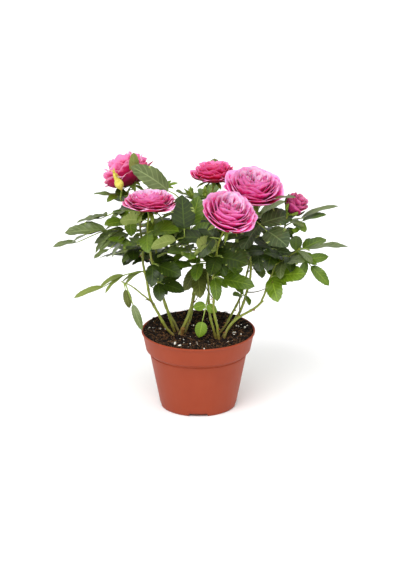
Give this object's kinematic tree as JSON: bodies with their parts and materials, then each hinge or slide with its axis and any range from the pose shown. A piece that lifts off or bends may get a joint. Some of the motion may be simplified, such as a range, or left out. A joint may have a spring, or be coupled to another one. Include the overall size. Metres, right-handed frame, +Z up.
{
  "type": "miniature rose bush in a nursery pot",
  "caption": "Small shrub rose in bloom: stems rise from a round tapered plant pot and spread into leaf sprays with full rosette flowers on top.",
  "frame": {"origin": "centre of the flat underside of the pot", "axes": "+Z up the pot's axis, +X towards the right-hand side of the bush seen from its front, -Y towards its front"},
  "size_m": [0.307, 0.1905, 0.283],
  "materials": {
    "pot_plastic": "satin moulded polypropylene, terracotta colour",
    "compost": "damp peat compost with fibres and perlite",
    "stem_bark": "smooth green rose bark, reddish at the foot",
    "leaf": "semi-gloss dark green leaf, pale matt underneath",
    "petal": "soft velvety pink petal, paler towards the middle",
    "bud_green": "smooth green sepals"
  },
  "bodies": {
    "root": {"bloom_front": "petal", "bloom_left_back": "petal", "bloom_left_front": "petal", "bloom_right": "petal", "bloom_top": "petal", "bough_front": "stem_bark", "bough_left_low": "stem_bark", "bough_right_far": "stem_bark", "bough_top_left": "stem_bark", "bud_left": "bud_green", "bud_right": "petal", "leaves_back_centre": "leaf", "leaves_back_left": "leaf", "leaves_back_left_high": "leaf", "leaves_back_left_low": "leaf", "leaves_back_right_high": "leaf", "leaves_back_right_low": "leaf", "leaves_back_top": "leaf", "leaves_centre_left": "leaf", "leaves_centre_low": "leaf", "leaves_far_left": "leaf", "leaves_far_right": "leaf", "leaves_front_centre": "leaf", "leaves_front_left": "leaf", "leaves_front_low": "leaf", "leaves_front_upright": "leaf", "leaves_left_front": "leaf", "leaves_left_hanging": "leaf", "leaves_left_high": "leaf", "leaves_left_low": "leaf", "leaves_left_mid": "leaf", "leaves_left_top": "leaf", "leaves_left_under": "leaf", "leaves_left_upright": "leaf", "leaves_low_centre": "leaf", "leaves_low_left": "leaf", "leaves_mid_under": "leaf", "leaves_right_bright": "leaf", "leaves_right_front": "leaf", "leaves_right_hanging": "leaf", "leaves_right_high": "leaf", "leaves_right_low": "leaf", "leaves_right_mid": "leaf", "leaves_right_small": "leaf", "leaves_right_top": "leaf", "leaves_top_left": "leaf", "pot": "pot_plastic", "soil": "compost", "stem_back_centre": "stem_bark", "stem_back_left": "stem_bark", "stem_back_right": "stem_bark", "stem_left_inner": "stem_bark", "stem_left_outer": "stem_bark", "stem_left_upright": "stem_bark", "stem_mid_left": "stem_bark", "stem_mid_right": "stem_bark", "stem_right_low": "stem_bark", "stem_right_mid": "stem_bark", "stem_right_rise": "stem_bark"}
  },
  "joints": []
}
